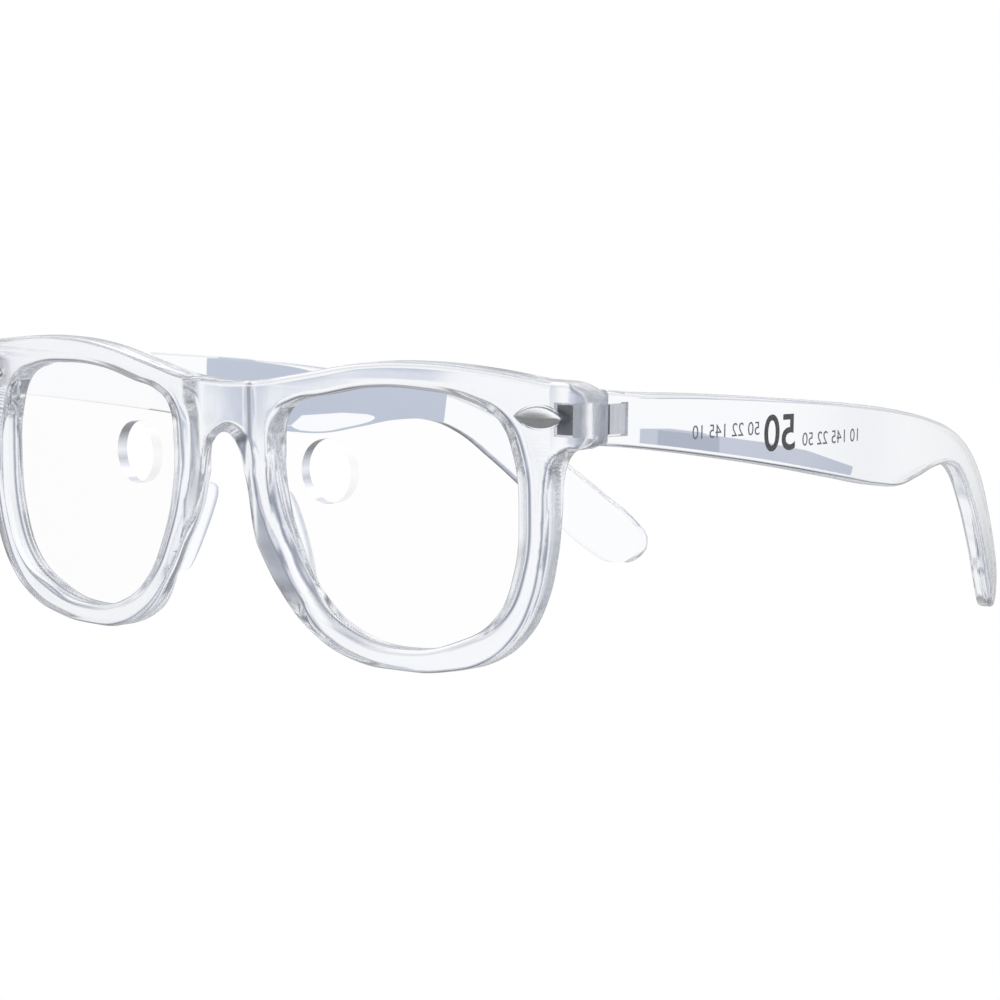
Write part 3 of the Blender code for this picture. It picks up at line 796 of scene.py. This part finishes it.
def finish_leaf(leaf, metal, painted_shade_steel):
    """Drills the hole for the pin, rounds the edges and puts the leaf in its place."""
    cut(leaf, cylinder("bore", PIN_HOLE_RADIUS, *stack_span(PAST)))
    soften_edges(leaf, METAL_BEVEL)
    paint_shade_on_front_and_back(leaf, metal, painted_shade_steel)
    return polish(place_on_hinge(leaf))


def front_leaf(metal, painted_shade_steel):
    """Two knuckles on a tang that is set into the end piece."""
    low, high = stack_span()
    half = TANG_WIDTH / 2
    leaf = box("left_front_leaf", (-half, TANG_BACK - TANG_LENGTH, low), (half, TANG_BACK, high))
    half -= ARM_INSET
    arms = []
    for index in (0, 2):
        bottom, top = knuckle_span(index)
        arms.append(box("arm", (-half, TANG_BACK - PAST, bottom), (half, 0, top)))
        arms.append(cylinder("barrel", KNUCKLE_RADIUS, bottom, top))
    join(leaf, *arms)
    return finish_leaf(leaf, metal, painted_shade_steel)


def temple_leaf(metal, painted_shade_steel):
    """One knuckle on a leaf that lies in the temple's inner face."""
    low, high = stack_span()
    bottom, top = knuckle_span(1)
    leaf = box("left_temple_leaf", (LEAF_INNER, LEAF_FRONT, low),
               (LEAF_INNER + LEAF_THICK, LEAF_LENGTH, high))
    web = box("web", (0, WEB_FRONT, bottom), (LEAF_INNER + WEB_LAP, WEB_BACK, top))
    join(leaf, web, cylinder("barrel", KNUCKLE_RADIUS, bottom, top))
    return finish_leaf(leaf, metal, painted_shade_steel)


def hinge_screw(metal):
    """Shank through all three knuckles, with a slotted head on top."""
    low, high = stack_span()
    seat = high + SCREW_HEAD_GAP
    top = seat + SCREW_HEAD_HEIGHT
    screw = cylinder("left_hinge_screw", PIN_RADIUS, low - SCREW_END, seat + SHANK_LAP)
    screw.data.materials.append(metal)
    join(screw, cylinder("head", SCREW_HEAD_RADIUS, seat, top))
    reach = 2 * SCREW_HEAD_RADIUS
    cut(screw, box("slot", (-reach, -SCREW_SLOT / 2, top - SCREW_SLOT_DEPTH),
                   (reach, SCREW_SLOT / 2, top + PAST)))
    soften_edges(screw, METAL_BEVEL)
    return polish(place_on_hinge(screw))


def tang_pocket():
    """Slot in the end piece's rear face for the hinge's tang."""
    low, high = stack_span(POCKET_GAP)
    half = TANG_WIDTH / 2 + POCKET_GAP
    pocket = box("tang_pocket", (-half, TANG_BACK - TANG_LENGTH - POCKET_GAP, low),
                 (half, TANG_OPEN, high))
    return place_on_hinge(pocket)


def leaf_pocket():
    """Recess in the temple's inner face for the hinge's leaf."""
    low, high = stack_span(POCKET_GAP)
    pocket = box("leaf_pocket", (-OPEN, -OPEN, low),
                 (LEAF_INNER + LEAF_THICK + POCKET_GAP, LEAF_LENGTH + POCKET_GAP, high))
    return place_on_hinge(pocket)


# ---------------------------------------------------------------- print

def print_line(along):
    """Height of the line that the print follows."""
    start, height = PRINT_START
    return height - (along - start) * PRINT_FALL


def printed_word(text, along, height, bold):
    """Thin letters laid on the left temple's inner face."""
    curve = bpy.data.curves.new("size_print", "FONT")
    curve.body = text
    curve.size = height * PRINT_SIZE
    curve.align_x = curve.align_y = "CENTER"
    curve.extrude = PRINT_HALF_THICK
    curve.offset = PRINT_BOLD if bold else 0.0
    obj = bpy.data.objects.new("size_print", curve)
    scene.collection.objects.link(obj)
    bpy.context.view_layer.update()
    mesh = evaluated_mesh(obj, "size_print")
    bpy.data.objects.remove(obj, do_unlink=True)
    mesh.transform(Matrix.Rotation(math.pi / 2, 4, "X"))
    mesh.transform(Matrix.Rotation(-math.pi / 2, 4, "Z"))
    for vert in mesh.vertices:
        y = along + vert.co.y
        inner = TEMPLE_OUTER_X - TEMPLE_THICK - temple_bow(y) - PRINT_LIFT
        vert.co = (inner + vert.co.x, FRONT_Y + y, print_line(along) + vert.co.z)
    return mesh


def size_print(dark, pale):
    """Generic size numbers, read from inside."""
    for index, (text, along, height, bold) in enumerate(PRINT_WORDS):
        mesh = printed_word(text, along, height, bold)
        piece = mesh_object(f"size_print_{index + 1}", mesh, dark if bold else pale)
        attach(piece, "left_temple")


# ---------------------------------------------------------------- studio

# Grey cards: name, colour, distance from the camera, and the corners right and up of the
# middle of the view, in thousandths of that distance
CARDS = (
    ("card_far_temple", (0.53, 0.58, 0.68), 0.70,
     ((-80, 38.6), (-40, 36.4), (-53.9, 34.0), (-64.1, 31.5), (-66.6, 30.7), (-66.6, 18.9),
      (-75, 17.8), (-76.8, 30.2), (-80, 31.3))),
    ("card_far_temple_in_lens", (0.53, 0.58, 0.68), 0.70,
     ((-58.5, 20.2), (-59, 27), (-53.9, 29.7), (-43.1, 31.5), (-27, 32.3), (-14, 32.0),
      (-15.4, 19.4), (-27, 20.7), (-36.4, 23.2), (-43, 23.6), (-54, 22.9), (-57, 20.2))),
    ("card_near_temple", (0.54, 0.58, 0.67), 0.600,
     ((35.6, 19.4), (43.7, 19.4), (53, 18.3), (68.7, 15.9), (81, 13.5), (92.7, 9.2),
      (92.2, 7.0), (81, 7.8), (68.7, 9.7), (53, 12.1), (48.2, 12.9), (35.6, 14.0))),
    ("card_near_temple_dark", (0.40, 0.44, 0.53), 0.598,
     ((40.4, 19.0), (57.0, 17.4), (57.0, 11.8), (40.4, 13.5))),
)

# White tents: name, distance from the camera, right and up in thousandths of it, and radius
TENTS = (
    ("tent_far_tip", 0.733, 26.4, -7.5, 0.0125),
    ("tent_far_hinge", 0.650, -107.8, 31.0, 0.0145),
)


def camera():
    """A long lens in front of the glasses, on the wearer's left."""
    cam = bpy.data.cameras.new("camera")
    cam.lens = CAMERA_LENS
    cam.sensor_width = CAMERA_SENSOR
    cam.clip_start = 0.01
    obj = bpy.data.objects.new("camera", cam)
    obj.location = CAMERA_PLACE
    obj.rotation_euler = [math.radians(angle) for angle in CAMERA_TURN]
    scene.collection.objects.link(obj)
    scene.camera = obj


def around(tree):
    """Azimuth of a direction of the studio, and how far it points up."""
    direction = node(tree, "ShaderNodeTexCoord").outputs["Generated"]
    parts = node(tree, "ShaderNodeSeparateXYZ", {0: direction})
    azimuth = math_node(tree, "ARCTAN2", parts.outputs["X"], parts.outputs["Y"])
    return azimuth, parts.outputs["Z"]


def studio():
    """A white room for the eye; the plastic sees bright panels with grey gaps between."""
    world = bpy.data.worlds.new("studio")
    world.use_nodes = True
    scene.world = world
    tree = world.node_tree
    output = tree.nodes["Background"]
    azimuth, height = around(tree)
    turned = math_node(tree, "ADD", azimuth, PANELS_TURN)
    waves = math_node(tree, "COSINE", math_node(tree, "MULTIPLY", turned, PANELS))
    across = math_node(tree, "MULTIPLY_ADD", waves, 0.5, 0.5)
    upright = math_node(tree, "MULTIPLY_ADD", height, 0.5, 0.5)
    sides = ramp(tree, across, (0.0, (0.26, 0.28, 0.34)), (0.3, (0.70, 0.73, 0.80)),
                 (0.58, (0.99, 0.995, 1.0)))
    bands = ramp(tree, upright, (0.0, 1.0), (0.22, 0.98), (0.33, 0.72), (0.40, 1.0), (0.60, 1.0),
                 (0.68, 0.32), (0.8, 0.55), (0.92, 0.95))
    seen_through = node(tree, "ShaderNodeMix", {"Factor": 1.0, "A": sides, "B": bands},
                        data_type="RGBA", blend_type="MULTIPLY")
    mirrored_room = ramp(tree, upright, (0.0, 0.55), (0.45, 0.5), (0.5, 0.62), (0.62, 0.7),
                         (0.72, 1.8), (0.9, 2.4))
    path = node(tree, "ShaderNodeLightPath")
    through = node(tree, "ShaderNodeMix", {"Factor": path.outputs["Is Transmission Ray"],
                                           "A": mirrored_room,
                                           "B": seen_through.outputs["Result"]},
                   data_type="RGBA")
    seen = node(tree, "ShaderNodeMix", {"Factor": path.outputs["Is Camera Ray"],
                                        "A": through.outputs["Result"],
                                        "B": (1.0, 1.0, 1.0, 1.0)}, data_type="RGBA")
    tree.links.new(seen.outputs["Result"], output.inputs["Color"])


def glow_material(name, colour):
    """A plain glow, which no light or shadow changes."""
    mat = bpy.data.materials.new(name)
    mat.use_nodes = True
    tree = mat.node_tree
    tree.nodes.remove(tree.nodes["Principled BSDF"])
    glow = node(tree, "ShaderNodeEmission", {"Color": (*colour, 1.0)})
    tree.links.new(glow.outputs[0], tree.nodes["Material Output"].inputs["Surface"])
    return mat


def stage_piece(name, bm, colour, place, unseen_by):
    """A glowing piece of the studio that some kinds of ray pass through."""
    mesh = bpy.data.meshes.new(name)
    bm.to_mesh(mesh)
    bm.free()
    piece = mesh_object(name, mesh, glow_material(name, colour))
    piece.matrix_world = place
    for ray in unseen_by:
        setattr(piece, "visible_" + ray, False)


def in_view(right, up, reach):
    """A place in the camera's own axes, from thousandths of its distance."""
    return Vector((right * reach / 1000, up * reach / 1000, -reach))


def studio_card(name, colour, reach, corners):
    """A grey card behind a temple, met only by light that comes through plastic."""
    bm = bmesh.new()
    bm.faces.new([bm.verts.new(in_view(*corner, reach)) for corner in corners])
    stage_piece(name, bm, colour, scene.camera.matrix_basis, CARD_UNSEEN_BY)


def studio_tent(name, reach, right, up, radius):
    """A small white tent round part of the glasses, met only by light through plastic."""
    bm = bmesh.new()
    bmesh.ops.create_uvsphere(bm, u_segments=32, v_segments=16, radius=radius)
    place = scene.camera.matrix_basis @ Matrix.Translation(in_view(right, up, reach))
    stage_piece(name, bm, (1.0, 1.0, 1.0), place, CARD_UNSEEN_BY)


def white_floor():
    """The plain white table, which only the camera sees."""
    bm = bmesh.new()
    bmesh.ops.create_grid(bm, x_segments=8, y_segments=8, size=FLOOR_REACH)
    place = Matrix.Translation((0, 0, -FLOOR_DROP))
    stage_piece("floor", bm, (1.0, 1.0, 1.0), place, FLOOR_UNSEEN_BY)


# ---------------------------------------------------------------- assembly

def stand_for(obj, cad_node, body):
    """The fine piece rides on its body and stands for its plain CAD node."""
    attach(obj, body)
    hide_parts(cad_node)


def build():
    """Every piece with its material; the right-hand ones are copies of the left-hand ones."""
    clear = moulded_plastic("clear_plastic", (0.972, 0.978, 1.0), roughness=0.10,
                            ior=PLASTIC_IOR, waves=0.02, density=4.0)
    arm_clear = moulded_plastic("clear_plastic_temples", (0.98, 0.984, 1.0), roughness=0.02,
                                ior=PLASTIC_IOR, waves=0.004, density=3.0)
    # painted light: a paler copy of the temples' plastic for the far temple, with less body tint and a
    # lower IOR
    far_clear = moulded_plastic("clear_plastic_far", (0.98, 0.984, 1.0), roughness=0.04,
                                ior=1.22, waves=0.004, density=1.0)
    sawn = moulded_plastic("clear_plastic_sawn", (0.97, 0.975, 1.0), roughness=0.35,
                           ior=PLASTIC_IOR, waves=0.02, density=3.0)
    pad_clear = moulded_plastic("pad_plastic", (0.965, 0.97, 1.0), roughness=0.3,
                                ior=1.07, waves=0.02, density=4.0)
    sheet, wall = lens_sheet(), lens_wall()
    satin = brushed_metal("satin_metal", (0.47, 0.475, 0.49), roughness=0.26,
                          stretch=(0.08, 1.0, 1.0))
    steel = brushed_metal("steel", (0.93, 0.94, 0.97), roughness=0.22,
                          stretch=(1.0, 1.0, 0.1), metallic=0.6)
    # painted shade: a dark steel for the hinge leaves' front and back faces
    painted_shade_steel = brushed_metal("steel_painted_shade", (0.22, 0.225, 0.25), roughness=0.4,
                            stretch=(1.0, 1.0, 0.1), metallic=0.6)

    stand_for(front_moulding(clear), "frame_front", "front")
    for side in SIDES:
        stand_for(lens(side, sheet, wall), "lens_" + side, "front")
    left_pieces = (
        (stud(satin), "stud_left", "front", "satin_metal"),
        (front_leaf(steel, painted_shade_steel), "hinge_front_left", "front", "steel"),
        (hinge_screw(steel), "hinge_screw_left", "front", "steel"),
        (nose_pad(pad_clear), "nose_pad_left", "front", "pad_plastic"),
        (temple(arm_clear, sawn), "temple_left", "left_temple", "clear_plastic"),
        (temple_leaf(steel, painted_shade_steel), "hinge_temple_left", "left_temple", "steel"),
    )
    for piece, cad_node, body, slot in left_pieces:
        other = mirror_copy(piece, piece.name.replace("left", "right"))
        # the far temple gets the paler copy of the plastic: painted light
        if cad_node == "temple_left":
            other.data.materials[0] = far_clear
        stand_for(piece, cad_node, body)
        stand_for(other, cad_node.replace("left", "right"), body.replace("left", "right"))
    size_print(print_ink("print_ink", (0.008, 0.009, 0.014)),
               print_ink("print_ink_thin", (0.16, 0.17, 0.21)))


scene.view_settings.view_transform = "Standard"
scene.cycles.max_bounces = BOUNCES
scene.cycles.transmission_bounces = BOUNCES
scene.cycles.glossy_bounces = BOUNCES
scene.cycles.transparent_max_bounces = BOUNCES
camera()
studio()
white_floor()
for tent in TENTS:
    studio_tent(*tent)
for card in CARDS:
    studio_card(*card)
build()
